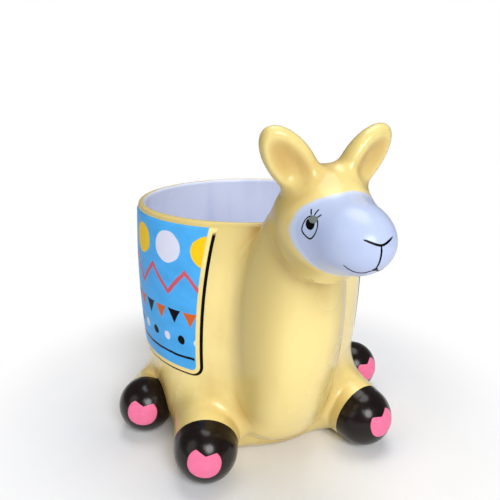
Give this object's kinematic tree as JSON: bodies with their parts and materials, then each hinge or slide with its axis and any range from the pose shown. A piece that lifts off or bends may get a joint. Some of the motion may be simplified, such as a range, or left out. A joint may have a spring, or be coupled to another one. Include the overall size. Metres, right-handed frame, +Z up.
{
  "type": "utensil crock",
  "caption": "Llama-shaped ceramic crock: a round open pot for kitchen utensils, with a neck and head at the front, splayed legs, dark hooves and painted blankets on its flanks.",
  "frame": {"origin": "centre of the flat base, on the surface the crock stands on, under the pot's axis", "axes": "+Z up along the pot's axis, -Y the way the animal faces, +X towards the animal's left side"},
  "size_m": [0.1976, 0.2502, 0.2119],
  "materials": {
    "butter_glaze": "high gloss, butter yellow with warmer creases; pale lavender inside the pot",
    "face_glaze": "high gloss, lavender white with fine painted features",
    "hoof_glaze": "high gloss, brown black",
    "pad_glaze": "high gloss, pink",
    "blanket_glaze": "high gloss, sky blue with hand-painted dots, zigzag, triangles and lines"
  },
  "bodies": {
    "root": {"pot": "butter_glaze", "chest": "butter_glaze", "head": "butter_glaze", "left_ear": "butter_glaze", "right_ear": "butter_glaze", "tail": "butter_glaze", "front_left_leg": "butter_glaze", "front_right_leg": "butter_glaze", "rear_left_leg": "butter_glaze", "rear_right_leg": "butter_glaze", "face": "face_glaze", "front_left_hoof": "hoof_glaze", "front_right_hoof": "hoof_glaze", "rear_left_hoof": "hoof_glaze", "rear_right_hoof": "hoof_glaze", "front_left_pad": "pad_glaze", "front_right_pad": "pad_glaze", "rear_left_pad": "pad_glaze", "rear_right_pad": "pad_glaze", "left_blanket": "blanket_glaze", "right_blanket": "blanket_glaze"}
  },
  "joints": []
}
